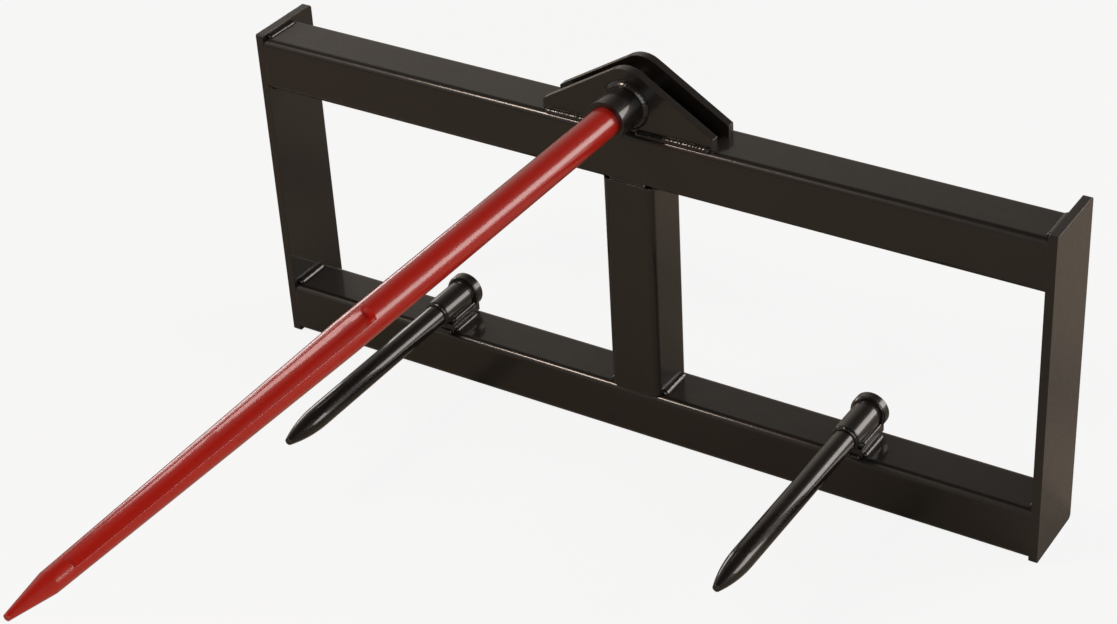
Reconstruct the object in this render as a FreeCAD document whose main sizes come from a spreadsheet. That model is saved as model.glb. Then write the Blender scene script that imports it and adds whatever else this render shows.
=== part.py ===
import FreeCAD, Part
import math
import os
import Sketcher

# Bale spear: a welded frame of square hollow section that hangs on a loader's
# quick coupler. One long forged spear sits in a sleeve between two bracket
# plates on the top tube, two short spears sit in sleeves on the bottom tube.
# Origin: centre of the post's rear face. X right, Y to the loader, Z up, mm.

os.makedirs("parts", exist_ok=True)
doc = FreeCAD.newDocument("bale_spear")

SIZES = [
    # frame of square hollow section, with a flat bar at each end
    ("frame_width", 1194.0),
    ("frame_height", 480.0),
    ("tube_size", 76.2),
    ("tube_wall", 4.8),
    ("tube_round", 9.5),
    ("plate_thick", 12.0),
    ("plate_depth", 112.0),
    ("plate_drop", 3.0),
    ("plate_rise", 7.0),
    ("plate_corner", 6.0),
    ("plate_nick", 2.0),
    # coupler parts behind the frame
    ("hook_thick", 10.0),
    ("hook_reach", 32.0),
    ("hook_below_top", 10.0),
    ("shelf_thick", 10.0),
    ("shelf_depth", 50.0),
    ("shelf_height", 12.0),
    ("slot_width", 26.0),
    ("slot_length", 60.0),
    ("slot_spacing", 710.0),
    ("slot_back", 29.0),
    # bracket plates for the long spear
    ("bracket_thick", 12.0),
    ("bracket_half_base", 127.0),
    ("bracket_end_height", 16.5),
    ("bracket_apex", 94.3),
    ("bracket_round", 38.0),
    ("bracket_front_set", 7.5),
    ("bracket_gap", 30.0),
    # long spear with its sleeve and nut
    ("spear_above_tube", 36.8),
    ("spear_radius", 21.0),
    ("spear_length", 1239.0),
    ("spear_reach", 1144.0),
    ("taper_start", 600.0),
    ("shoulder_radius", 13.1),
    ("point_length", 59.0),
    ("point_blunt", 4.0),
    ("groove_start", 564.0),
    ("groove_end", 1060.0),
    ("groove_radius", 15.0),
    ("groove_depth", 8.0),
    ("groove_end_depth", 4.2),
    ("groove_turn", 58.0),
    ("sleeve_radius", 28.5),
    ("sleeve_front", 45.0),
    ("sleeve_behind", 4.0),
    ("shank_taper", 30.0),
    ("tail_radius", 15.0),
    ("stud_radius", 12.7),
    ("stud_chamfer", 2.0),
    ("nut_flats", 38.1),
    ("nut_thick", 21.0),
    ("nut_chamfer", 2.5),
    # short spears on the bottom tube
    ("short_spacing", 648.0),
    ("short_above_tube", 30.1),
    ("short_radius", 15.9),
    ("short_reach", 353.0),
    ("short_length", 427.8),
    ("short_nose", 68.0),
    ("short_nose_radius", 217.0),
    ("short_nose_tip", 5.0),
    ("holder_radius", 20.5),
    ("holder_front", 4.0),
    ("lug_radius", 25.5),
    ("lug_thick", 12.0),
    ("lug_inset", 2.2),
    ("lug_foot", 36.0),
    ("saddle_width", 40.0),
    ("saddle_height", 13.0),
    ("saddle_front", 4.0),
    # weld beads and the play between round pieces
    ("post_bead", 8.0),
    ("plate_bead", 8.0),
    ("plate_edge_bead", 10.0),
    ("bracket_bead", 6.0),
    ("bracket_rear_bead", 5.0),
    ("bracket_bead_inset", 16.0),
    ("bracket_bead_end", 4.0),
    ("sleeve_ring", 7.0),
    ("saddle_bead", 5.0),
    ("fit_gap", 0.25),
]

dims = doc.addObject("Spreadsheet::Sheet", "dims")
for row, (alias, value) in enumerate(SIZES, start=1):
    dims.set("A%d" % row, alias)
    dims.set("B%d" % row, str(value))
    dims.setAlias("B%d" % row, alias)
doc.recompute()

# Planes and heights that several pieces share, all worked out from the sizes.
FRONT = "-dims.tube_size"
TOP = "dims.frame_height / 2"
BOTTOM_TUBE_TOP = "(dims.tube_size - dims.frame_height / 2)"
INNER = "(dims.frame_width / 2 - dims.plate_thick)"
SPEAR_Z = "(dims.frame_height / 2 + dims.spear_above_tube)"
SHORT_Z = "(dims.tube_size - dims.frame_height / 2 + dims.short_above_tube)"
BRACKET_FRONT = "(dims.bracket_front_set - dims.tube_size)"
BRACKET_REAR = (
    "(dims.bracket_front_set - dims.tube_size + 2 * dims.bracket_thick + dims.bracket_gap)"
)
SLEEVE_FRONT = "(-dims.tube_size - dims.sleeve_front)"
SLEEVE_REAR = (
    "(dims.bracket_front_set - dims.tube_size + 2 * dims.bracket_thick"
    " + dims.bracket_gap + dims.sleeve_behind)"
)
SHANK_TAPER = "(" + SLEEVE_REAR + " - dims.shank_taper)"
SPEAR_TIP = "(-dims.tube_size - dims.spear_reach)"
SPEAR_END = "(-dims.tube_size - dims.spear_reach + dims.spear_length)"
SHORT_TIP = "(-dims.tube_size - dims.short_reach)"
HOLDER_FRONT = "(-dims.tube_size - dims.holder_front)"
LUG_FRONT = "(-dims.lug_inset - dims.lug_thick)"
SADDLE_FRONT = "(dims.saddle_front - dims.tube_size)"


def number(expression):
    """Value of a size expression."""
    return float(dims.evalExpression(expression))


def new_body(name, x="0", y="0", z="0", turn=None):
    """Body at a place given by size expressions, with its own named file."""
    body = doc.addObject("PartDesign::Body", name)
    body.Label = name
    if turn:
        body.Placement = FreeCAD.Placement(FreeCAD.Vector(), turn)
    for axis, expression in (("x", x), ("y", y), ("z", z)):
        body.setExpression(".Placement.Base." + axis, expression)
    return body


def sketch_on(body, plane, name):
    """Empty sketch on one of the body's own origin planes."""
    sketch = body.newObject("Sketcher::SketchObject", name)
    support = [item for item in body.Origin.OriginFeatures if item.Role == plane]
    sketch.AttachmentSupport = [(support[0], "")]
    sketch.MapMode = "FlatFace"
    return sketch


def pin(sketch, geometry, point, u, v):
    """Tie a sketch point to two size expressions."""
    for kind, expression in (("DistanceX", u), ("DistanceY", v)):
        rule = Sketcher.Constraint(kind, -1, 1, geometry, point, number(expression))
        index = sketch.addConstraint(rule)
        sketch.setExpression("Constraints[%d]" % index, expression)


def outline(body, plane, corners, name="outline"):
    """Closed outline. A corner is (u, v), or (u, v, radius, side) where an arc
    leads to the next corner and bulges to the left (1) or right (-1)."""
    sketch = sketch_on(body, plane, name)
    points = [FreeCAD.Vector(number(c[0]), number(c[1]), 0) for c in corners]
    ends = []
    for i, corner in enumerate(corners):
        here, there = points[i], points[(i + 1) % len(points)]
        if len(corner) == 2:
            sketch.addGeometry(Part.LineSegment(here, there))
            ends.append((1, 2))
            continue
        radius, side = number(corner[2]), corner[3]
        along = there - here
        half = along.Length / 2
        rise = radius - math.sqrt(max(radius ** 2 - half ** 2, 0))
        out = FreeCAD.Vector(-along.y, along.x, 0).normalize() * rise * side
        sketch.addGeometry(Part.Arc(here, (here + there) * 0.5 + out, there))
        ends.append((2, 1) if side > 0 else (1, 2))
    for i in range(len(corners)):
        nxt = (i + 1) % len(corners)
        sketch.addConstraint(
            Sketcher.Constraint("Coincident", i, ends[i][1], nxt, ends[nxt][0])
        )
    for i, corner in enumerate(corners):
        pin(sketch, i, ends[i][0], corner[0], corner[1])
        if len(corner) > 2:
            rule = Sketcher.Constraint("Radius", i, number(corner[2]))
            index = sketch.addConstraint(rule)
            sketch.setExpression("Constraints[%d]" % index, corner[2])
    return sketch


def rectangle(body, plane, u0, u1, v0, v1, name="outline"):
    return outline(body, plane, [(u0, v0), (u1, v0), (u1, v1), (u0, v1)], name)


def circle(body, plane, u, v, radius, name):
    sketch = sketch_on(body, plane, name)
    centre = FreeCAD.Vector(number(u), number(v), 0)
    sketch.addGeometry(Part.Circle(centre, FreeCAD.Vector(0, 0, 1), number(radius)))
    pin(sketch, 0, 3, u, v)
    index = sketch.addConstraint(Sketcher.Constraint("Radius", 0, number(radius)))
    sketch.setExpression("Constraints[%d]" % index, radius)
    return sketch


def pad(body, sketch, length, midplane=False, reverse=False):
    feature = body.newObject("PartDesign::Pad", "pad")
    feature.Profile = sketch
    feature.Midplane = midplane
    feature.Reversed = reverse
    feature.setExpression("Length", length)
    doc.recompute()
    return feature


def cut_through(body, sketch):
    """Pocket both ways through the whole body, checked to remove material."""
    before = body.Shape.Volume
    feature = body.newObject("PartDesign::Pocket", "pocket")
    feature.Profile = sketch
    feature.Type = "ThroughAll"
    feature.Midplane = True
    doc.recompute()
    if not body.Shape.Volume < before - 1.0:
        raise ValueError("pocket removes nothing in " + body.Label)
    return feature


def turned(body, corners, name="profile"):
    """Piece turned about the body's Y axis from a half profile (radius, y)."""
    sketch = outline(body, "XY_Plane", corners, name)
    feature = body.newObject("PartDesign::Revolution", "turned")
    feature.Profile = sketch
    feature.ReferenceAxis = (sketch, ["V_Axis"])
    feature.Angle = 360
    doc.recompute()
    return feature


def soften(body, kind, size, wanted):
    """Fillet or chamfer the edges that the test picks."""
    base = body.Tip
    edges = base.Shape.Edges
    names = ["Edge%d" % i for i, edge in enumerate(edges, start=1) if wanted(edge)]
    if not names:
        raise ValueError("no edge to soften in " + body.Label)
    feature = body.newObject("PartDesign::" + kind, kind.lower())
    feature.Base = (base, names)
    feature.setExpression("Radius" if kind == "Fillet" else "Size", size)
    doc.recompute()
    return feature


def straight_along(edge, axis):
    """True for a straight edge that runs along the local axis 'x', 'y' or 'z'."""
    if not isinstance(edge.Curve, Part.Line):
        return False
    return abs(abs(getattr(edge.Curve.Direction, axis)) - 1) < 1e-6


# ---- hollow sections -------------------------------------------------------

def hollow_section(name, length, x="0", z="0", turn=None):
    """Square hollow section along the body's X, its rear face on local Y = 0."""
    body = new_body(name, x=x, z=z, turn=turn)
    half = "dims.tube_size / 2"
    pad(body, rectangle(body, "YZ_Plane", FRONT, "0", "-" + half, half), length, True)
    soften(body, "Fillet", "dims.tube_round", lambda e: straight_along(e, "x"))
    bore = rectangle(
        body, "YZ_Plane",
        FRONT + " + dims.tube_wall", "-dims.tube_wall",
        "dims.tube_wall - " + half, half + " - dims.tube_wall", "bore",
    )
    cut_through(body, bore)
    inside = number("dims.tube_size / 2 - dims.tube_wall") + 0.1
    middle = number(FRONT) / 2

    def is_bore_corner(edge):
        at = edge.BoundBox.Center
        near = abs(at.y - middle) < inside and abs(at.z) < inside
        return straight_along(edge, "x") and near

    soften(body, "Fillet", "dims.tube_round - dims.tube_wall", is_bore_corner)
    return body


TUBE_LENGTH = "2 * " + INNER
TUBE_Z = "(dims.frame_height / 2 - dims.tube_size / 2)"
UPRIGHT = FreeCAD.Rotation(FreeCAD.Vector(0, 1, 0), -90)
hollow_section("top_tube", TUBE_LENGTH, z=TUBE_Z)
hollow_section("bottom_tube", TUBE_LENGTH, z="-" + TUBE_Z)
hollow_section("centre_post", "dims.frame_height - 2 * dims.tube_size", turn=UPRIGHT)


# ---- end plates ------------------------------------------------------------

def end_plate(name, x):
    """Flat bar across the tube ends, standing out behind them as a side guide."""
    body = new_body(name, x=x)
    rear = "(dims.plate_depth - dims.tube_size)"
    sketch = rectangle(
        body, "YZ_Plane", FRONT, rear,
        "-dims.frame_height / 2 - dims.plate_drop", TOP + " + dims.plate_rise",
    )
    pad(body, sketch, "dims.plate_thick")
    front, back = number(FRONT), number(rear)

    def corner_at(edge, place):
        return straight_along(edge, "x") and abs(edge.BoundBox.Center.y - place) < 0.01

    soften(body, "Fillet", "dims.plate_corner", lambda e: corner_at(e, back))
    soften(body, "Chamfer", "dims.plate_nick", lambda e: corner_at(e, front))
    return body


end_plate("end_plate_left", "-dims.frame_width / 2")
end_plate("end_plate_right", INNER)


# ---- coupler parts behind the frame ----------------------------------------

def coupler_hook():
    """Flat bar welded behind the top tube, leaning back and down, under which
    the loader's coupler catches."""
    body = new_body("coupler_hook_bar")
    top = "(dims.frame_height / 2 - dims.hook_below_top)"
    slant = "dims.hook_thick * sqrt(2)"
    corners = [
        ("0", top),
        ("dims.hook_reach", top + " - dims.hook_reach"),
        ("dims.hook_reach - " + slant + " / 2", top + " - dims.hook_reach - " + slant + " / 2"),
        ("0", top + " - " + slant),
    ]
    pad(body, outline(body, "YZ_Plane", corners), TUBE_LENGTH, True)


def latch_shelf():
    """Flat bar along the bottom tube with a slot for each coupler latch pin."""
    body = new_body("coupler_latch_shelf")
    low = "(dims.shelf_height - dims.frame_height / 2)"
    sketch = rectangle(
        body, "YZ_Plane", "0", "dims.shelf_depth", low, low + " + dims.shelf_thick"
    )
    pad(body, sketch, TUBE_LENGTH, True)
    half_flat = "(dims.slot_length - dims.slot_width) / 2"
    radius = "dims.slot_width / 2"
    for side, sign in (("left", "-"), ("right", "")):
        middle = sign + "dims.slot_spacing / 2"
        left, right = middle + " - " + half_flat, middle + " + " + half_flat
        near, far = "dims.slot_back - " + radius, "dims.slot_back + " + radius
        corners = [
            (left, near),
            (right, near, radius, -1),
            (right + " + " + radius, "dims.slot_back", radius, -1),
            (right, far),
            (left, far, radius, -1),
            (left + " - " + radius, "dims.slot_back", radius, -1),
        ]
        cut_through(body, outline(body, "XY_Plane", corners, "slot_" + side))


coupler_hook()
latch_shelf()


# ---- bracket plates, sleeve, long spear and nut -----------------------------

def bracket_plate(name, front):
    """Gable-shaped plate with a rounded top and a bore for the sleeve."""
    body = new_body(name, y=front, z=TOP)
    corners = [
        ("-dims.bracket_half_base", "0"),
        ("dims.bracket_half_base", "0"),
        ("dims.bracket_half_base", "dims.bracket_end_height"),
        ("0", "dims.bracket_apex"),
        ("-dims.bracket_half_base", "dims.bracket_end_height"),
    ]
    pad(body, outline(body, "XZ_Plane", corners), "dims.bracket_thick", reverse=True)
    apex = number("dims.bracket_apex")

    def is_apex(edge):
        return straight_along(edge, "y") and abs(edge.BoundBox.Center.z - apex) < 0.01

    soften(body, "Fillet", "dims.bracket_round", is_apex)
    bore = "dims.sleeve_radius + dims.fit_gap"
    cut_through(body, circle(body, "XZ_Plane", "0", "dims.spear_above_tube", bore, "bore"))
    return body


bracket_plate("bracket_plate_front", BRACKET_FRONT)
bracket_plate(
    "bracket_plate_rear", BRACKET_FRONT + " + dims.bracket_thick + dims.bracket_gap"
)


def spear_sleeve():
    """Thick tube through both bracket plates. The rear of its bore narrows with
    the shank."""
    body = new_body("spear_sleeve", z=SPEAR_Z)
    turned(body, [
        ("dims.spear_radius + dims.fit_gap", SLEEVE_FRONT),
        ("dims.sleeve_radius", SLEEVE_FRONT),
        ("dims.sleeve_radius", SLEEVE_REAR),
        ("dims.tail_radius + dims.fit_gap", SLEEVE_REAR),
        ("dims.spear_radius + dims.fit_gap", SHANK_TAPER),
    ])


def long_spear():
    """Forged spear: tapered shank with a stud behind, round body, long taper
    with a scooped groove down each of two opposite sides, and a blunt point."""
    turn = FreeCAD.Rotation(FreeCAD.Vector(0, 1, 0), -number("dims.groove_turn"))
    body = new_body("main_spear", z=SPEAR_Z, turn=turn)
    turned(body, [
        ("0", SPEAR_TIP),
        ("dims.point_blunt", SPEAR_TIP),
        ("dims.shoulder_radius", SPEAR_TIP + " + dims.point_length"),
        ("dims.spear_radius", "-dims.tube_size - dims.taper_start"),
        ("dims.spear_radius", SHANK_TAPER),
        ("dims.tail_radius", SLEEVE_REAR),
        ("dims.stud_radius", SLEEVE_REAR),
        ("dims.stud_radius", SPEAR_END + " - dims.stud_chamfer"),
        ("dims.stud_radius - dims.stud_chamfer", SPEAR_END),
        ("0", SPEAR_END),
    ])
    # The groove's cutter turns about a line beside the spear. It widens towards
    # the point, and a ball at each end leaves the scooped run-outs.
    axis = "(dims.spear_radius + dims.groove_radius - dims.groove_depth)"
    start = "(-dims.tube_size - dims.groove_start)"
    end = "(-dims.tube_size - dims.groove_end)"
    narrow = (
        "(dims.spear_radius - (dims.spear_radius - dims.shoulder_radius)"
        " * (dims.groove_end - dims.taper_start)"
        " / (dims.spear_reach - dims.point_length - dims.taper_start))"
    )
    wide = "(" + axis + " - " + narrow + " + dims.groove_end_depth)"
    cutter = outline(body, "XY_Plane", [
        (axis, start + " + dims.groove_radius", "dims.groove_radius", 1),
        (axis + " - dims.groove_radius", start),
        (axis + " - " + wide, end, wide, 1),
        (axis, end + " - " + wide),
    ], "groove_cutter")
    line = Part.LineSegment(
        FreeCAD.Vector(number(axis), number(start), 0),
        FreeCAD.Vector(number(axis), number(end), 0),
    )
    index = cutter.addGeometry(line, True)
    pin(cutter, index, 1, axis, start)
    pin(cutter, index, 2, axis, end)
    before = body.Shape.Volume
    groove = body.newObject("PartDesign::Groove", "groove")
    groove.Profile = cutter
    groove.ReferenceAxis = (cutter, ["Axis0"])
    groove.Angle = 360
    doc.recompute()
    pattern = body.newObject("PartDesign::PolarPattern", "groove_pattern")
    pattern.Originals = [groove]
    pattern.Axis = (body.Group[0], ["V_Axis"])
    pattern.Angle = 360
    pattern.Occurrences = 2
    body.Tip = pattern
    doc.recompute()
    if not body.Shape.Volume < before - 1000.0:
        raise ValueError("the grooves remove nothing")


def spear_nut():
    """Hexagon nut that draws the tapered shank into its sleeve."""
    body = new_body("spear_nut", y=SLEEVE_REAR, z=SPEAR_Z)
    across = "(dims.nut_flats / 2)"
    corner = "(dims.nut_flats / sqrt(3))"
    corners = [
        ("-" + corner + " / 2", "-" + across),
        (corner + " / 2", "-" + across),
        (corner, "0"),
        (corner + " / 2", across),
        ("-" + corner + " / 2", across),
        ("-" + corner, "0"),
    ]
    pad(body, outline(body, "XZ_Plane", corners), "dims.nut_thick", reverse=True)
    bore = "dims.stud_radius + dims.fit_gap"
    cut_through(body, circle(body, "XZ_Plane", "0", "0", bore, "bore"))
    # A cone turned off the rear end rounds the hexagon's corners.
    bevel = outline(body, "XY_Plane", [
        (across, "dims.nut_thick + 1"),
        (across + " - 0.2", "dims.nut_thick"),
        (corner + " + 1", "dims.nut_thick - dims.nut_chamfer"),
        (corner + " + 1", "dims.nut_thick + 1"),
    ], "bevel")
    before = body.Shape.Volume
    groove = body.newObject("PartDesign::Groove", "bevel_cut")
    groove.Profile = bevel
    groove.ReferenceAxis = (bevel, ["V_Axis"])
    groove.Angle = 360
    doc.recompute()
    if not body.Shape.Volume < before - 10.0:
        raise ValueError("the nut's bevel removes nothing")


spear_sleeve()
long_spear()
spear_nut()


# ---- short spears with saddle, sleeve and lug -------------------------------

def short_spear_set(side, sign):
    """One short spear, welded in a sleeve that lies in a saddle on the bottom
    tube and ends at a round lug on a foot."""
    x = sign + "dims.short_spacing / 2"

    spear = new_body("stabiliser_spear_" + side, x=x, z=SHORT_Z)
    turned(spear, [
        ("0", SHORT_TIP),
        ("dims.short_nose_tip", SHORT_TIP, "dims.short_nose_radius", -1),
        ("dims.short_radius", SHORT_TIP + " + dims.short_nose"),
        ("dims.short_radius", SHORT_TIP + " + dims.short_length"),
        ("0", SHORT_TIP + " + dims.short_length"),
    ])

    sleeve = new_body("stabiliser_sleeve_" + side, x=x, z=SHORT_Z)
    turned(sleeve, [
        ("dims.short_radius + dims.fit_gap", HOLDER_FRONT),
        ("dims.holder_radius", HOLDER_FRONT),
        ("dims.holder_radius", LUG_FRONT),
        ("dims.short_radius + dims.fit_gap", LUG_FRONT),
    ])

    lug = new_body("stabiliser_lug_" + side, x=x, y=LUG_FRONT, z=BOTTOM_TUBE_TOP)
    rise = "dims.short_above_tube"
    foot = "dims.lug_foot / 2"
    neck = rise + " - sqrt(dims.lug_radius^2 - (dims.lug_foot / 2)^2)"
    lug_outline = outline(lug, "XZ_Plane", [
        (foot, "0"),
        (foot, neck, "dims.lug_radius", -1),
        ("dims.lug_radius", rise, "dims.lug_radius", -1),
        ("0", rise + " + dims.lug_radius", "dims.lug_radius", -1),
        ("-dims.lug_radius", rise, "dims.lug_radius", -1),
        ("-" + foot, neck),
        ("-" + foot, "0"),
    ])
    pad(lug, lug_outline, "dims.lug_thick", reverse=True)
    bore = "dims.short_radius + dims.fit_gap"
    cut_through(lug, circle(lug, "XZ_Plane", "0", rise, bore, "bore"))

    saddle = new_body("stabiliser_saddle_" + side, x=x, y=SADDLE_FRONT, z=BOTTOM_TUBE_TOP)
    cradle = "(dims.holder_radius + dims.fit_gap)"
    reach = "sqrt(" + cradle + "^2 - (" + rise + " - dims.saddle_height)^2)"
    half_base = "dims.saddle_width / 2"
    saddle_outline = outline(saddle, "XZ_Plane", [
        ("-" + half_base, "0"),
        (half_base, "0"),
        (half_base, "dims.saddle_height"),
        (reach, "dims.saddle_height", cradle, 1),
        ("-" + reach, "dims.saddle_height"),
        ("-" + half_base, "dims.saddle_height"),
    ])
    length = "dims.tube_size - dims.saddle_front - dims.lug_inset - dims.lug_thick"
    pad(saddle, saddle_outline, length, reverse=True)


short_spear_set("left", "-")
short_spear_set("right", "")


# ---- weld beads ----------------------------------------------------------------
# Each run is a piece of its own that lies face to face on what it joins. Runs
# keep to the flats, so they stop where the tubes' corners start to round.

FLAT_FRONT = "(dims.tube_round - dims.tube_size)"
FLAT_REAR = "(-dims.tube_round)"
POST_SIDE = "(dims.tube_size / 2)"


def corner_bead(name, x, z, x_way, z_way, leg_x, leg_z, y0=FLAT_FRONT, y1=FLAT_REAR):
    """Hollow-faced fillet run from y0 to y1 in the corner at (x, z). It spreads
    to the sides that x_way and z_way (1 or -1) name."""
    body = new_body(name, x=x, y=y0, z=z)
    foot = ("" if x_way > 0 else "-") + leg_x
    rise = ("" if z_way > 0 else "-") + leg_z
    corners = [("0", "0"), (foot, "0", "2.5 * " + leg_x, x_way * z_way), ("0", rise)]
    pad(body, outline(body, "XZ_Plane", corners), y1 + " - " + y0, reverse=True)


def post_welds(end, way):
    """Runs round one end of the post: a fill that makes its front flush with the
    tube's rounded edge, and a fillet down each side."""
    z = ("" if way > 0 else "-") + "(dims.frame_height / 2 - dims.tube_size)"
    fill = new_body("weld_post_%s_front" % end, y=FRONT, z=z)
    rise = ("" if way > 0 else "-") + "dims.tube_round"
    corners = [("0", "0"), ("dims.tube_round", "0", "dims.tube_round", way), ("0", rise)]
    pad(fill, outline(fill, "YZ_Plane", corners), "dims.tube_size - 2 * dims.tube_round", True)
    bead = "dims.post_bead"
    corner_bead("weld_post_%s_left" % end, "-" + POST_SIDE, z, -1, -way, bead, bead)
    corner_bead("weld_post_%s_right" % end, POST_SIDE, z, 1, -way, bead, bead)


def plate_welds(side, way):
    """Four runs that hold one end plate: over and under each tube."""
    x = ("" if way > 0 else "-") + INNER
    window = "(dims.frame_height / 2 - dims.tube_size)"
    bead = "dims.plate_bead"
    corner_bead("weld_plate_%s_top" % side, x, TOP, -way, 1, bead, "dims.plate_rise")
    corner_bead("weld_plate_%s_window_top" % side, x, window, -way, -1, bead, bead)
    corner_bead("weld_plate_%s_window_bottom" % side, x, "-" + window, -way, 1, bead, bead)
    corner_bead(
        "weld_plate_%s_bottom" % side, x, "-" + TOP, -way, -1,
        "dims.plate_edge_bead", "dims.plate_drop",
    )


def foot_runs(body, corners):
    """A run along each half of a bracket plate's foot, clear of the sleeve."""
    near, far = "dims.bracket_bead_inset", "(dims.bracket_half_base - dims.bracket_bead_end)"
    for side, sign in (("left", "-"), ("right", "")):
        sketch = outline(body, "YZ_Plane", corners, "foot_" + side)
        middle = sign + "(" + near + " + " + far + ") / 2"
        sketch.setExpression(".AttachmentOffset.Base.z", middle)
        pad(body, sketch, far + " - " + near, True)


def bracket_front_weld():
    """Ring round the sleeve that runs out along the front plate's foot, where it
    wraps onto the tube's rounded edge."""
    body = new_body("weld_bracket_front", y=BRACKET_FRONT, z=SPEAR_Z)
    inner = "(dims.sleeve_radius + dims.fit_gap)"
    turned(body, [
        (inner, "0"), (inner + " + dims.sleeve_ring", "0"), (inner, "-dims.sleeve_ring"),
    ])
    bead = "dims.bracket_bead"
    level = "-dims.spear_above_tube"
    overhang = "(dims.tube_round - dims.bracket_front_set)"
    surface = level + " - dims.tube_round + sqrt(dims.tube_round^2 - (%s)^2)"
    foot_runs(body, [
        ("0", level + " + " + bead),
        ("0", surface % overhang, "dims.tube_round", -1),
        ("-" + bead, surface % (overhang + " + " + bead)),
    ])


def bracket_rear_weld(side, sign):
    """Plain run along one half of the rear plate's foot."""
    near, far = "dims.bracket_bead_inset", "(dims.bracket_half_base - dims.bracket_bead_end)"
    x = sign + "(" + near + " + " + far + ") / 2"
    body = new_body("weld_bracket_rear_" + side, x=x, y=BRACKET_REAR, z=TOP)
    bead = "dims.bracket_rear_bead"
    sketch = outline(body, "YZ_Plane", [("0", "0"), (bead, "0"), ("0", bead)])
    pad(body, sketch, far + " - " + near, True)


for end, way in (("top", 1), ("bottom", -1)):
    post_welds(end, way)
bracket_front_weld()

for side, way, sign in (("left", -1, "-"), ("right", 1, "")):
    plate_welds(side, way)
    bracket_rear_weld(side, sign)
    for edge, out in (("outer", way), ("inner", -way)):
        x = sign + "dims.short_spacing / 2" + (" + " if out > 0 else " - ")
        corner_bead(
            "weld_saddle_%s_%s" % (side, edge), x + "dims.saddle_width / 2",
            BOTTOM_TUBE_TOP, out, 1, "dims.saddle_bead", "dims.saddle_bead", y1=LUG_FRONT,
        )


# ---- check and write ---------------------------------------------------------

doc.recompute()
for item in doc.Objects:
    if set(item.State) & {"Invalid", "Error"}:
        raise ValueError(item.Label + " is " + str(item.State))
for body in [item for item in doc.Objects if item.TypeId == "PartDesign::Body"]:
    if body.Shape.isNull() or not body.Shape.isValid():
        raise ValueError(body.Label + " has no valid shape")
    body.Shape.exportStep(os.path.join("parts", body.Label + ".step"))
    box = body.Shape.BoundBox
    print(
        "%-26s %9.0f mm3  x %8.1f %8.1f  y %8.1f %8.1f  z %8.1f %8.1f" % (
            body.Label, body.Shape.Volume,
            box.XMin, box.XMax, box.YMin, box.YMax, box.ZMin, box.ZMax,
        )
    )
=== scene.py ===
import math
import random

import bmesh
import bpy
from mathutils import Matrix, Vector


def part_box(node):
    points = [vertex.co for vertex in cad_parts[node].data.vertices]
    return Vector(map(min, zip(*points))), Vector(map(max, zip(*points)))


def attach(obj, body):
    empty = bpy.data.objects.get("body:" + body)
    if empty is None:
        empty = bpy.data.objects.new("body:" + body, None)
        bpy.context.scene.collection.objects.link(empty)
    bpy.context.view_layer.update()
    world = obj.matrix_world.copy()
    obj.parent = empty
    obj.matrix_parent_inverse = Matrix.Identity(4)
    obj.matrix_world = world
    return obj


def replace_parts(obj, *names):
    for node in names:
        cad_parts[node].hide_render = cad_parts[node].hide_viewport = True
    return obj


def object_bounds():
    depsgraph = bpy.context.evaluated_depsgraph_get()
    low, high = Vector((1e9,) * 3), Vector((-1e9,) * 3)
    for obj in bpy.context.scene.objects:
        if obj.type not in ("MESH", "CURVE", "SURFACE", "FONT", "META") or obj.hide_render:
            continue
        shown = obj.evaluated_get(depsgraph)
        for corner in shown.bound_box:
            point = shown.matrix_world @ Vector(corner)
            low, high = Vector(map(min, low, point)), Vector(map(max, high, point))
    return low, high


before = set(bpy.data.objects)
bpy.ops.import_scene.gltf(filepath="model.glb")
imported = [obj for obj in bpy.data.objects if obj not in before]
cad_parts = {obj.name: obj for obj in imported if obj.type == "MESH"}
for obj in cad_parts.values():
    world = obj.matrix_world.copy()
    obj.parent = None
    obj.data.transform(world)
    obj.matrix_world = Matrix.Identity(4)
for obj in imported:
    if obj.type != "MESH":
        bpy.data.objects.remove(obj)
cad_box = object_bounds()
MM = 0.001


# ---- camera ------------------------------------------------------------------
# Long lens from the front right and above, rolled two degrees.

camera_data = bpy.data.cameras.new("camera")
camera_data.sensor_width = 36
camera_data.lens = 80.53
camera_data.shift_x = -0.0730
camera = bpy.data.objects.new("camera", camera_data)
camera.location = (1.49997, -2.46971, 1.79230)
camera.rotation_euler = (math.radians(57.069), math.radians(2.013), math.radians(30.545))
bpy.context.scene.collection.objects.link(camera)
bpy.context.scene.camera = camera


# ---- floor and surroundings -----------------------------------------------------
# Pale floor in white surroundings. What the paint reflects is a dim room with a wide
# window behind on the right, a small lamp high on the left and a dark ceiling.

def srgb(code):
    """Hex colour as linear red, green, blue and alpha."""
    values = [int(code[i:i + 2], 16) / 255 for i in (1, 3, 5)]
    return [v / 12.92 if v <= 0.04045 else ((v + 0.055) / 1.055) ** 2.4 for v in values] + [1.0]


def add(tree, kind, inputs=None, **settings):
    """Adds a node. An input is a plain value or a (node, output name) pair."""
    node = tree.nodes.new("ShaderNode" + kind)
    for name, value in settings.items():
        setattr(node, name, value)
    for name, value in (inputs or {}).items():
        if isinstance(value, tuple) and hasattr(value[0], "outputs"):
            tree.links.new(value[0].outputs[value[1]], node.inputs[name])
        else:
            node.inputs[name].default_value = value
    return node


def new_material(name):
    """Empty material: its tree and its output node."""
    material = bpy.data.materials.new(name)
    material.use_nodes = True
    tree = material.node_tree
    tree.nodes.clear()
    return material, tree, tree.nodes.new("ShaderNodeOutputMaterial")


FLOOR_DROP = 0.002

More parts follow.
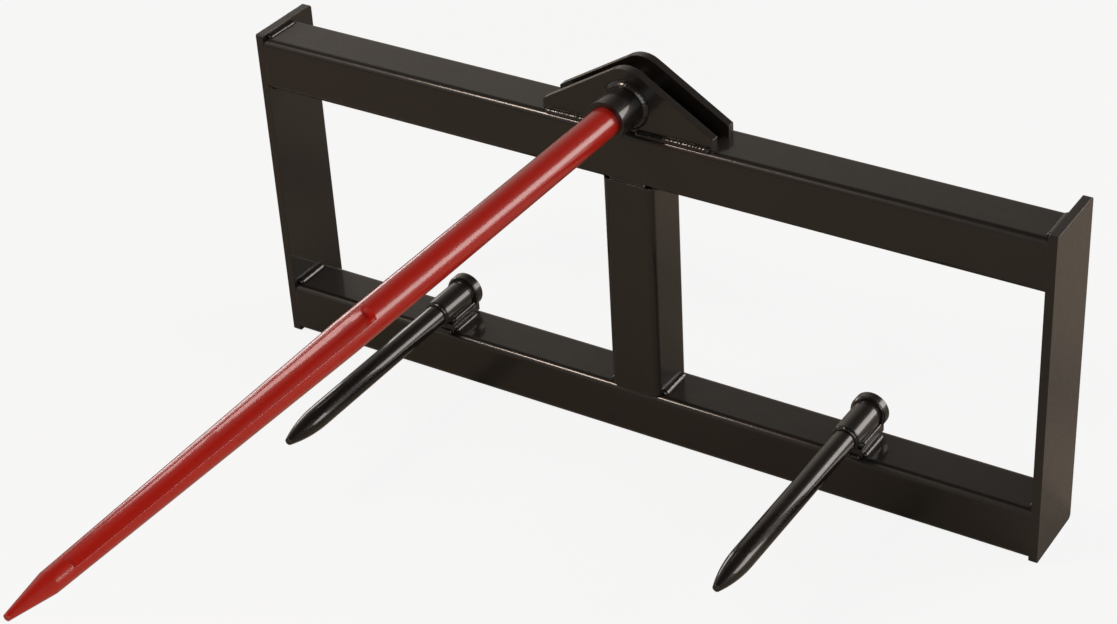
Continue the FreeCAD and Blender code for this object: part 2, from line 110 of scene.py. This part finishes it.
bpy.ops.mesh.primitive_plane_add(size=60, location=(0, 0, cad_box[0][2] - FLOOR_DROP))
floor = bpy.context.object
floor.name = "floor"
floor_paint, tree, output = new_material("pale_floor")
ray = add(tree, "LightPath")
lit = add(tree, "BsdfDiffuse", {"Color": srgb("#ffffff")})
glow = add(tree, "Emission", {"Color": srgb("#ffffff"), "Strength": 1.0})
seen = add(tree, "MixShader", {"Fac": 0.88})
tree.links.new(lit.outputs["BSDF"], seen.inputs[1])
tree.links.new(glow.outputs["Emission"], seen.inputs[2])
unseen = add(tree, "BsdfDiffuse", {"Color": srgb("#c9bfb2")})
both = add(tree, "MixShader", {"Fac": (ray, "Is Camera Ray")})
tree.links.new(unseen.outputs["BSDF"], both.inputs[1])
tree.links.new(seen.outputs["Shader"], both.inputs[2])
tree.links.new(both.outputs["Shader"], output.inputs["Surface"])
floor.data.materials.append(floor_paint)

world = bpy.data.worlds.new("surroundings")
bpy.context.scene.world = world
world.use_nodes = True
tree = world.node_tree
tree.nodes.clear()
output = tree.nodes.new("ShaderNodeOutputWorld")
ray = add(tree, "LightPath")
way = add(tree, "SeparateXYZ", {"Vector": (add(tree, "TexCoord"), "Generated")})
side = add(tree, "MapRange", {"Value": (way, "X"), "From Min": -0.65, "From Max": -0.1,
                              "To Min": 0.42, "To Max": 0.16})
ceiling = add(tree, "MapRange", {"Value": (way, "Z"), "From Min": 0.5, "From Max": 0.8,
                                 "To Min": 1.0, "To Max": 0.3})
dim = add(tree, "Math", {0: (side, "Result"), 1: (ceiling, "Result")}, operation="MULTIPLY")
room = add(tree, "Background", {"Color": srgb("#f4e8dc"), "Strength": (dim, "Value")})
white = add(tree, "Background", {"Color": srgb("#ffffff"), "Strength": 1.0})
mixed = add(tree, "MixShader", {"Fac": (ray, "Is Camera Ray")})
tree.links.new(room.outputs["Background"], mixed.inputs[1])
tree.links.new(white.outputs["Background"], mixed.inputs[2])
tree.links.new(mixed.outputs["Shader"], output.inputs["Surface"])


def soft_light(name, place, target, width, height, power, colour):
    """Rectangular soft light at place, turned to target."""
    data = bpy.data.lights.new(name, "AREA")
    data.shape = "RECTANGLE"
    data.size = width
    data.size_y = height
    data.energy = power
    data.color = srgb(colour)[:3]
    light = bpy.data.objects.new(name, data)
    light.location = place
    turn = Vector(target) - Vector(place)
    light.rotation_euler = turn.to_track_quat("-Z", "Y").to_euler()
    bpy.context.scene.collection.objects.link(light)


soft_light("lamp", (-1.6, -1.75, 2.4), (0, -0.3, 0), 0.7, 0.5, 22, "#ffe9d8")
soft_light("window", (3.2, 2.6, 1.1), (0, -0.3, 0.1), 3.2, 1.8, 70, "#fff6f0")
soft_light("front_fill", (2.4, -3.4, 1.0), (0, -0.3, 0), 3.2, 2.2, 34, "#ffffff")
soft_light("back_left", (-3.0, 1.6, 0.5), (0, -0.3, 0), 1.2, 0.8, 8, "#ffffff")


# ---- frame of square tube -----------------------------------------------------------
# Two tubes and a post of square hollow section with a flat bar welded on each end, and
# behind them the hook bar and the latch shelf for the coupler. Sprayed after welding.

# Orange peel is about 1 mm wide. It is drawn coarser, so that it shows.
PEEL = 2.6 * MM
# Patches of uneven paint, its fine mottle, and clouds of dust.
PATCH, MOTTLE, DUST_CLOUD = 110 * MM, 6 * MM, 35 * MM
# Scale of a forged skin, drawn coarse enough to show.
FORGING_SCALE = 1.6 * MM
EDGE_RADIUS = 1.4 * MM
DUST = "#8d8072"


def ramp(tree, factor, stops):
    """Colour ramp through (position, colour) stops."""
    node = add(tree, "ValToRGB", {"Fac": factor})
    elements = node.color_ramp.elements
    while len(elements) < len(stops):
        elements.new(0.5)
    for element, (position, colour) in zip(elements, stops):
        element.position = position
        element.color = colour if isinstance(colour, (list, tuple)) else (colour,) * 3 + (1,)
    return node


def noise(tree, place, size, **inputs):
    """Noise with features about as wide as size."""
    values = {"Vector": (place, "Object"), "Scale": 1 / size}
    values.update((name.title(), value) for name, value in inputs.items())
    return add(tree, "TexNoise", values)


def sprayed_paint(name, colour, edge_wear_and_highlight_colour, roughness, edge_wear_and_highlight=0.5, coat=1.0, coat_rough=0.05,
                  peel=0.12, grit=0.0, dust=0.04):
    """Gloss paint with orange peel, a film of dust, and edges that take another colour: worn paint,
    and on the black paints a paler grey that is also a painted edge highlight. Grit is the forged skin
    that shows through it."""
    material, tree, output = new_material(name)
    place = add(tree, "TexCoord")
    shape = add(tree, "NewGeometry")
    large = noise(tree, place, PATCH, detail=5.0)
    fine = noise(tree, place, MOTTLE, detail=6.0, roughness=0.65)
    skin = noise(tree, place, PEEL, detail=2.0)
    rounded = add(tree, "Bevel", {"Radius": EDGE_RADIUS}, samples=6)
    # Edge mask: where the rounded normal turns from the true one, broken by the mottle. On black paint its
    # pale colour is a painted edge highlight as well as worn paint.
    turn = add(tree, "VectorMath", {0: (rounded, "Normal"), 1: (shape, "Normal")}, operation="DOT_PRODUCT")
    edge = ramp(tree, (turn, "Value"), [(0.86, 1.0), (0.985, 0.0)])
    broken = ramp(tree, (fine, "Fac"), [(0.5, 0.0), (0.72, 1.0)])
    edge_wear_and_highlight_mask = add(tree, "Math", {0: (edge, "Color"), 1: (broken, "Color")}, operation="MULTIPLY")
    edge_wear_and_highlight_mask = add(tree, "Math", {0: (edge_wear_and_highlight_mask, "Value"), 1: edge_wear_and_highlight}, operation="MULTIPLY", use_clamp=True)
    tint = add(tree, "Mix", {"Factor": (large, "Fac"), "A": srgb(colour[0]), "B": srgb(colour[1])},
               data_type="RGBA")
    tint = add(tree, "Mix", {"Factor": (edge_wear_and_highlight_mask, "Value"), "A": (tint, "Result"), "B": srgb(edge_wear_and_highlight_colour)},
               data_type="RGBA")
    up = add(tree, "SeparateXYZ", {"Vector": (shape, "Normal")})
    settled = add(tree, "MapRange", {"Value": (up, "Z"), "From Min": 0.5, "From Max": 1.0,
                                     "To Min": 0.0, "To Max": dust})
    drift = noise(tree, place, DUST_CLOUD, detail=8.0, roughness=0.7)
    cloud = ramp(tree, (drift, "Fac"), [(0.35, 0.15), (0.65, 1.0)])
    film = add(tree, "Math", {0: (settled, "Result"), 1: (cloud, "Color")}, operation="MULTIPLY")
    tint = add(tree, "Mix", {"Factor": (film, "Value"), "A": (tint, "Result"), "B": srgb(DUST)},
               data_type="RGBA")
    gloss = add(tree, "MapRange", {"Value": (fine, "Fac"), "From Min": 0.3, "From Max": 0.7,
                                   "To Min": roughness - 0.05, "To Max": roughness + 0.07})
    haze = add(tree, "MapRange", {"Value": (cloud, "Color"),
                                   "To Min": coat_rough, "To Max": coat_rough + 0.05})
    bump = add(tree, "Bump", {"Height": (skin, "Fac"), "Strength": peel, "Distance": 0.1 * MM,
                              "Normal": (rounded, "Normal")})
    if grit:
        scale = noise(tree, place, FORGING_SCALE, detail=3.0)
        bump = add(tree, "Bump", {"Height": (scale, "Fac"), "Strength": grit, "Distance": 0.35 * MM,
                                  "Normal": (bump, "Normal")})
    paint = add(tree, "BsdfPrincipled", {
        "Base Color": (tint, "Result"), "Roughness": (gloss, "Result"), "Coat Weight": coat,
        "Coat Roughness": (haze, "Result"), "Normal": (bump, "Normal"), "Coat Normal": (bump, "Normal")})
    tree.links.new(paint.outputs["BSDF"], output.inputs["Surface"])
    return material


def dress(names, material):
    """Gives CAD nodes their material."""
    for name in names:
        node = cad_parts[name]
        node.data.materials.clear()
        node.data.materials.append(material)


# Gloss black enamel, sprayed wet: near black, warm, with a clear even shine.
# Its edges go to pale grey #6a625a: painted edge highlight as well as worn paint.
frame_paint = sprayed_paint("gloss_black_frame_paint", ("#120f0d", "#1a1613"), "#6a625a", 0.34)

dress(["top_tube", "bottom_tube", "centre_post", "end_plate_left", "end_plate_right",
       "coupler_hook_bar", "coupler_latch_shelf"], frame_paint)
dress([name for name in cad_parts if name.startswith("weld_")], frame_paint)


# ---- bracket and sleeve of the long spear ---------------------------------------------
# Two gable-shaped plates cut from 12 mm steel stand on the top tube. A thick tube
# through both holds the spear. Sprayed with the frame.

dress(["bracket_plate_front", "bracket_plate_rear", "spear_sleeve"], frame_paint)


# ---- long spear -------------------------------------------------------------------------
# Forged steel bar with a scooped groove down two sides, and a tapered shank in the
# sleeve. Sprayed by itself before it is fitted.

# Gloss red enamel over forged steel: strong red with a fine sparkle of scale under it.
spear_paint = sprayed_paint("gloss_red_spear_paint", ("#e0230f", "#cf1c0b"), "#7a3a32", 0.32,
                            dust=0.0, grit=0.3)

dress(["main_spear"], spear_paint)


# ---- nut of the long spear ----------------------------------------------------------------
# Hexagon nut on the stud behind the sleeve. It draws the shank tight.

# Dull zinc, drawn as a pale grey coat: even and light with soft reflections.
nut_zinc = sprayed_paint("zinc_plated_nut", ("#a9a9a2", "#93938c"), "#6d6c68", 0.4)

dress(["spear_nut"], nut_zinc)


# ---- short spears ---------------------------------------------------------------------------
# Round bars with a rounded nose, each in a short sleeve that lies in a saddle on the
# bottom tube and ends at a lug. Sprayed after welding.

# Gloss black enamel on smooth bar: darker than the frame, with sharper reflections.
# Its edges go to pale grey #5a534c: painted edge highlight as well as worn paint.
stabiliser_paint = sprayed_paint("gloss_black_stabiliser_paint", ("#0c0b0a", "#14110f"), "#5a534c", 0.30)

dress([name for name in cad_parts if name.startswith("stabiliser")], stabiliser_paint)


# ---- weld beads of the post and the end plates -------------------------------------------
# Fillets laid by hand with a wire welder and painted with the frame: overlapping
# scales, a swelling width and rounded ends.

# Along a bead: the facets' length, and the least and most from one scale to the next.
STEP = 1.2 * MM
SCALE_PITCH = (3.4, 5.4)
SCALE_BOW = 2.2 * MM
LUMP = (0.7, 1.3)
# Lengths in mm over which the width swells and shrinks, and by how much.
SWELLS = ((9, 16), (22, 40))
SWELL = 0.05
FULL_TURN = 6.3
# Width left at the very end, and how much of a leg the rounded end takes.
END_WIDTH = 0.45
END_LENGTH = 0.7
# Points across the face, and how far the hidden corner is sunk.
FACE_POINTS = 9
SINK = 0.2 * MM
# Share of the CAD bead's legs, so that the scales stay in its room.
LEG_X_SHARE = 0.93
LEG_Z_SHARE = 0.8
FLUSH_LEG = 8.9

X, Y, Z = Vector((1, 0, 0)), Vector((0, 1, 0)), Vector((0, 0, 1))

# The same enamel, run smooth over the bead: sharp glints on the scales.
# Its edges go a little towards pale grey #5a534c: painted edge highlight as well as worn paint.
weld_paint = sprayed_paint("gloss_black_paint_on_weld", ("#0e0c0b", "#171310"), "#5a534c", 0.22,
                           edge_wear_and_highlight=0.2, peel=0.05, dust=0.05)


def line(start, end, u, v):
    """Stations of a straight bead: corner, and the two ways along the joined faces."""
    start, end = Vector(start) * MM, Vector(end) * MM
    count = max(int((end - start).length / STEP), 4)
    return [(start.lerp(end, i / count), u, v) for i in range(count + 1)]


def face_spot(u, v, leg_u, leg_v, bulge, t):
    """Place on a bead's face, from one toe at t = 0 to the other at t = 1."""
    flat = u * leg_u * (1 - t) + v * leg_v * t
    full = u * leg_u * math.cos(t * math.pi / 2) + v * leg_v * math.sin(t * math.pi / 2)
    return flat.lerp(full, bulge)


def bead(name, runs, leg_u, leg_v, bulge=0.4, scale=0.45, seed=1):
    """One mesh of welded runs. Each run is a list of stations; a run whose last
    station meets its first is closed."""
    rng = random.Random(seed)
    mesh = bmesh.new()
    for stations in runs:
        closed = (stations[0][0] - stations[-1][0]).length < 0.1 * MM
        length = sum((a[0] - b[0]).length for a, b in zip(stations, stations[1:]))
        pools, reach = [0.0], 0.0
        while reach < length + 20 * MM:
            reach += rng.uniform(*SCALE_PITCH) * MM
            pools.append(reach)
        lumps = [rng.uniform(*LUMP) for _ in pools]
        waves = [(rng.uniform(*span) * MM, rng.uniform(0, FULL_TURN)) for span in SWELLS]
        rows, travelled = [], 0.0
        for i, (corner, u, v) in enumerate(stations):
            if i:
                travelled += (corner - stations[i - 1][0]).length
            swell = 1 + sum(SWELL * math.sin(travelled / size + phase) for size, phase in waves)
            if not closed:
                tip = min(travelled, length - travelled) / (END_LENGTH * leg_u * MM)
                round_off = math.sqrt(min(tip, 1) * (2 - min(tip, 1)))
                swell *= END_WIDTH + (1 - END_WIDTH) * round_off
            row = [mesh.verts.new(corner - (u + v) * SINK)]
            for k in range(FACE_POINTS):
                t = k / (FACE_POINTS - 1)
                spot = face_spot(u, v, leg_u, leg_v, bulge, t) * swell * MM
                behind = travelled + SCALE_BOW * math.sin(t * math.pi)
                at = max(j for j, start in enumerate(pools) if start <= behind)
                along = (behind - pools[at]) / (pools[at + 1] - pools[at])
                rise = scale * MM * lumps[at] * (1 - along ** 2) * math.sin(t * math.pi)
                row.append(mesh.verts.new(corner + spot + spot.normalized() * rise))
            rows.append(row)
        if closed:
            for vert in rows.pop():
                mesh.verts.remove(vert)
            rows.append(rows[0])
        for a, b in zip(rows, rows[1:]):
            for k in range(len(a)):
                n = (k + 1) % len(a)
                mesh.faces.new((a[k], a[n], b[n], b[k]))
        if not closed:
            mesh.faces.new(rows[0])
            mesh.faces.new(list(reversed(rows[-1])))
    bmesh.ops.recalc_face_normals(mesh, faces=mesh.faces)
    data = bpy.data.meshes.new(name)
    mesh.to_mesh(data)
    mesh.free()
    for face in data.polygons:
        face.use_smooth = True
    piece = bpy.data.objects.new(name, data)
    bpy.context.scene.collection.objects.link(piece)
    piece.data.materials.append(weld_paint)
    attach(piece, "root")
    return piece


def corners(node):
    """Lowest and highest corner of a CAD node in millimetres."""
    low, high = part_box(node)
    return [v / MM for v in low], [v / MM for v in high]


def corner_bead(name, node, way_x, way_z, bulge, seed):
    """Bead along Y in the corner that its CAD node fills, shown in that node's place."""
    low, high = corners(node)
    x = low[0] if way_x > 0 else high[0]
    z = low[2] if way_z > 0 else high[2]
    stations = line((x, low[1], z), (x, high[1], z), way_x * X, way_z * Z)
    leg_x = (high[0] - low[0]) * LEG_X_SHARE
    leg_z = (high[2] - low[2]) * LEG_Z_SHARE
    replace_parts(bead(name, [stations], leg_x, leg_z, bulge=bulge, seed=seed), node)


def flush_bead(name, node, way_z, seed):
    """Bead along X that fills a tube's rounded edge flush with the post's front."""
    low, high = corners(node)
    z = high[2] if way_z > 0 else low[2]
    stations = line((low[0], high[1], z), (high[0], high[1], z), -Y, -way_z * Z)
    piece = bead(name, [stations], FLUSH_LEG, FLUSH_LEG, bulge=0.78, scale=0.2, seed=seed)
    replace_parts(piece, node)


for end, way_z, seed in (("top", -1, 1), ("bottom", 1, 4)):
    corner_bead("bead_post_%s_left" % end, "weld_post_%s_left" % end, -1, way_z, 0.6, seed)
    corner_bead("bead_post_%s_right" % end, "weld_post_%s_right" % end, 1, way_z, 0.6, seed + 1)
    flush_bead("bead_post_%s_front" % end, "weld_post_%s_front" % end, way_z, seed + 2)

PLATE_SPOTS = (("top", 1), ("window_top", -1), ("window_bottom", 1), ("bottom", -1))

for side, way_x, seed in (("left", 1, 7), ("right", -1, 13)):
    for step, (spot, way_z) in enumerate(PLATE_SPOTS):
        corner_bead("bead_plate_%s_%s" % (side, spot), "weld_plate_%s_%s" % (side, spot),
                    way_x, way_z, 0.6, seed + step)


# ---- weld beads of the bracket -----------------------------------------------------------
# A ring joins the sleeve to the front plate. Runs at the foot of each plate join it
# to the top tube, in front of one and behind the other.

SLEEVE_Z = 276.8
SLEEVE_RADIUS = 28.5
FRONT_FOOT = (14, 123, 239.2)
REAR_FOOT = (16, 123, 240)


def arc(centre, radius, first, last):
    """Stations round a pipe along Y. Angles in degrees from +X towards +Z."""
    centre = Vector(centre) * MM
    sweep = math.radians(last - first)
    count = int(abs(sweep) * radius * MM / STEP)
    stations = []
    for i in range(count + 1):
        angle = math.radians(first) + sweep * i / count
        out = Vector((math.cos(angle), 0, math.sin(angle)))
        stations.append((centre + out * radius * MM, out, -Y))
    return stations


front_y = corners("bracket_plate_front")[0][1]
ring = bead("bead_bracket_front", [arc((0, front_y, SLEEVE_Z), SLEEVE_RADIUS, 0, 360)], 6.6, 6.6,
            bulge=0.3, scale=0.35, seed=31)
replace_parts(ring, "weld_bracket_front")

near, far, z = FRONT_FOOT
runs = [line((sign * near, front_y, z), (sign * far, front_y, z), -Y, Z) for sign in (-1, 1)]
bead("bead_bracket_feet", runs, 6.2, 6.2, bulge=0.6, scale=0.7, seed=32)

rear_y = corners("bracket_plate_rear")[1][1]
near, far, z = REAR_FOOT
for side, sign in (("left", -1), ("right", 1)):
    stations = line((sign * near, rear_y, z), (sign * far, rear_y, z), Y, Z)
    piece = bead("bead_bracket_rear_" + side, [stations], 4.7, 4.7, bulge=0.6, seed=34 + sign)
    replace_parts(piece, "weld_bracket_rear_" + side)


# ---- weld beads of the short spears -------------------------------------------------------
# Fat seams join the sleeve to its saddle and the saddle to the tube. Rings join the
# sleeve to its lug and to the spear, and a short run closes the saddle's front.

SHORT_X, SHORT_Z = 324.0, -133.7
LUG_Y, LUG_RING_RADIUS = -14.2, 20.5
SHORT_SLEEVE_Y, SHORT_SPEAR_RADIUS = -80.2, 15.9
SEAM_OUT, SEAM_FRONT, SEAM_REAR, SEAM_Z = 13, -70, -15, -149.8
SADDLE_FRONT_Y, SADDLE_FRONT_Z, SADDLE_FRONT_HALF = -72.2, -165.4, 17

for side, sign, seed in (("left", -1, 11), ("right", 1, 17)):
    for step, (spot, way) in enumerate((("outer", sign), ("inner", -sign))):
        corner_bead("bead_saddle_%s_%s" % (side, spot), "weld_saddle_%s_%s" % (side, spot),
                    way, 1, 0.8, seed + step)

for side, sign in (("left", -1), ("right", 1)):
    x = sign * SHORT_X
    bead("bead_lug_" + side, [arc((x, LUG_Y, SHORT_Z), LUG_RING_RADIUS, -38, 218)], 4.9, 9.0,
         bulge=0.25, scale=0.35, seed=40 + sign)
    bead("bead_sleeve_front_" + side, [arc((x, SHORT_SLEEVE_Y, SHORT_Z), SHORT_SPEAR_RADIUS, 0, 360)],
         4.3, 4.5, bulge=0.7, scale=0.3, seed=43 + sign)
    runs = []
    for way in (-1, 1):
        lean = Vector((way * 0.58, 0, 0.81))
        at = x + way * SEAM_OUT
        runs.append(line((at, SEAM_FRONT, SEAM_Z), (at, SEAM_REAR, SEAM_Z), way * X, lean))
    bead("bead_seam_" + side, runs, 7.6, 10.4, bulge=0.9, scale=0.5, seed=46 + sign)
    ends = [(x + way * SADDLE_FRONT_HALF, SADDLE_FRONT_Y, SADDLE_FRONT_Z) for way in (-1, 1)]
    bead("bead_saddle_front_" + side, [line(*ends, -Y, Z)], 3.6, 6.0, bulge=0.6, scale=0.6, seed=49 + sign)


# ---- view transform ---------------------------------------------------------------

bpy.context.scene.view_settings.view_transform = "Standard"
